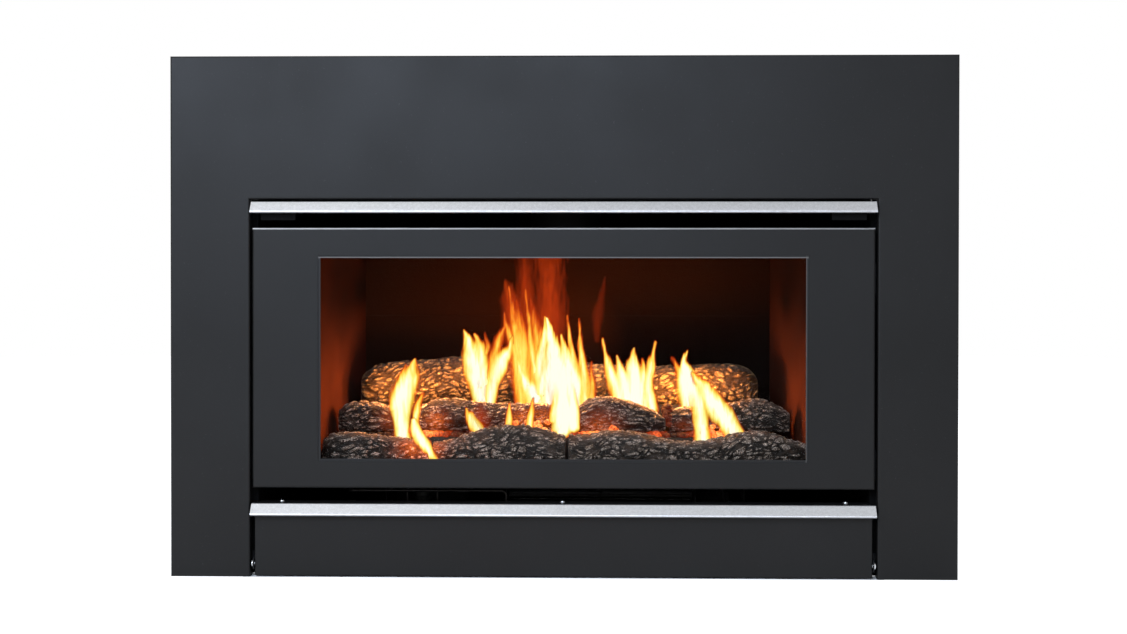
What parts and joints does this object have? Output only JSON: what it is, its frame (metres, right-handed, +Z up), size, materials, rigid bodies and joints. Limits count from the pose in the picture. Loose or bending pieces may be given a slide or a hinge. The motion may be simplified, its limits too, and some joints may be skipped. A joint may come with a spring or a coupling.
{
  "type": "inbuilt gas log fire",
  "caption": "Inbuilt gas fire with a black three-sided surround, silver louvre bars, a swing-out glazed door over ceramic logs and a drop-down control panel.",
  "frame": {"origin": "on the hearth, in the plane of the wall face, in the middle of the width", "axes": "+X to the viewer's right along the width, +Y back into the wall, +Z up"},
  "size_m": [1.05, 0.4445, 0.696],
  "materials": {
    "fascia_paint": "satin black, fine texture",
    "louvre_silver": "satin silver, fine texture",
    "case_sheet": "galvanised sheet",
    "firebox_paint": "matt heat-resistant black",
    "bracket_paint": "satin black",
    "liner_board": "matt moulded fibre board, sooted",
    "log_ceramic": "matt, moulded bark",
    "ember_ceramic": "matt, glowing",
    "burner_steel": "heat-stained steel",
    "glass": "clear ceramic glass",
    "rope_seal": "woven glass rope",
    "zinc": "bright zinc plate",
    "magnet_nickel": "nickel plate",
    "aluminium_cast": "die cast",
    "brass": "machined",
    "knob_plastic": "fine texture",
    "control_plastic": "moulded",
    "button_red": "polished",
    "motor_steel": "lacquered laminations"
  },
  "bodies": {
    "chassis": {"surround": "fascia_paint", "case_base": "case_sheet", "case_sides": "case_sheet", "case_back": "case_sheet", "case_top": "case_sheet", "case_screws": "zinc", "front_frame": "firebox_paint", "firebox_floor": "firebox_paint", "firebox_side_walls": "firebox_paint", "firebox_back_wall": "firebox_paint", "firebox_top": "firebox_paint", "firebox_supports": "case_sheet", "back_liners": "liner_board", "side_liners": "liner_board", "flue_baffle": "burner_steel", "flue_spigot": "case_sheet", "air_duct": "case_sheet", "burner_tray": "burner_steel", "burner_venturi": "aluminium_cast", "pilot_burner": "burner_steel", "ember_bed": "ember_ceramic", "front_log_left": "log_ceramic", "front_log_centre": "log_ceramic", "front_log_right": "log_ceramic", "middle_log_left": "log_ceramic", "middle_log_dark": "log_ceramic", "middle_log_curved": "log_ceramic", "middle_log_right": "log_ceramic", "rear_log": "log_ceramic", "door_hangers": "zinc", "catch_forks": "zinc", "top_bar": "louvre_silver", "top_bar_brackets": "bracket_paint", "hinge_brackets": "bracket_paint", "panel_hinge_pins": "zinc", "magnets": "magnet_nickel", "magnet_brackets": "bracket_paint", "control_plate": "case_sheet", "gas_valve": "aluminium_cast", "piezo_igniter": "control_plastic", "speed_controller": "control_plastic", "gas_pipes": "brass", "gas_inlet_union": "brass", "cable_gland": "control_plastic", "blower_housing": "case_sheet", "blower_motor": "motor_steel"},
    "door": {"door_frame": "fascia_paint", "glass_frame": "bracket_paint", "glass_pane": "glass", "door_seals": "rope_seal", "glass_clips": "zinc", "door_brackets": "zinc"},
    "panel": {"lower_panel": "fascia_paint", "lower_bar": "louvre_silver", "lower_bar_brackets": "bracket_paint", "bar_screws": "zinc"},
    "gas_knob": {"valve_knob": "knob_plastic"},
    "fan_knob": {"fan_speed_knob": "knob_plastic"},
    "spark_button": {"igniter_button": "button_red"},
    "fan_rotor": {"blower_wheel": "aluminium_cast"}
  },
  "joints": [
    {"name": "door_swing", "type": "hinge", "parent": "chassis", "child": "door", "pos_m": [0, -0.0185, 0.45], "axis": [-1, 0, 0], "range_deg": [0, 25]},
    {"name": "panel_drop", "type": "hinge", "parent": "chassis", "child": "panel", "pos_m": [0, -0.024, 0.017], "axis": [1, 0, 0], "range_deg": [0, 85]},
    {"name": "gas_knob_turn", "type": "hinge", "parent": "chassis", "child": "gas_knob", "pos_m": [-0.07, 0.008, 0.05], "axis": [0, -1, 0], "range_deg": [0, 180]},
    {"name": "fan_knob_turn", "type": "hinge", "parent": "chassis", "child": "fan_knob", "pos_m": [0.11, 0.008, 0.05], "axis": [0, 1, 0], "range_deg": [0, 270]},
    {"name": "igniter_press", "type": "slide", "parent": "chassis", "child": "spark_button", "axis": [0, 1, 0], "range_m": [0, 0.005], "stiffness_N_per_m": 300},
    {"name": "fan_spin", "type": "hinge", "parent": "chassis", "child": "fan_rotor", "pos_m": [0.05, 0.306, 0.052], "axis": [1, 0, 0], "continuous": true}
  ]
}
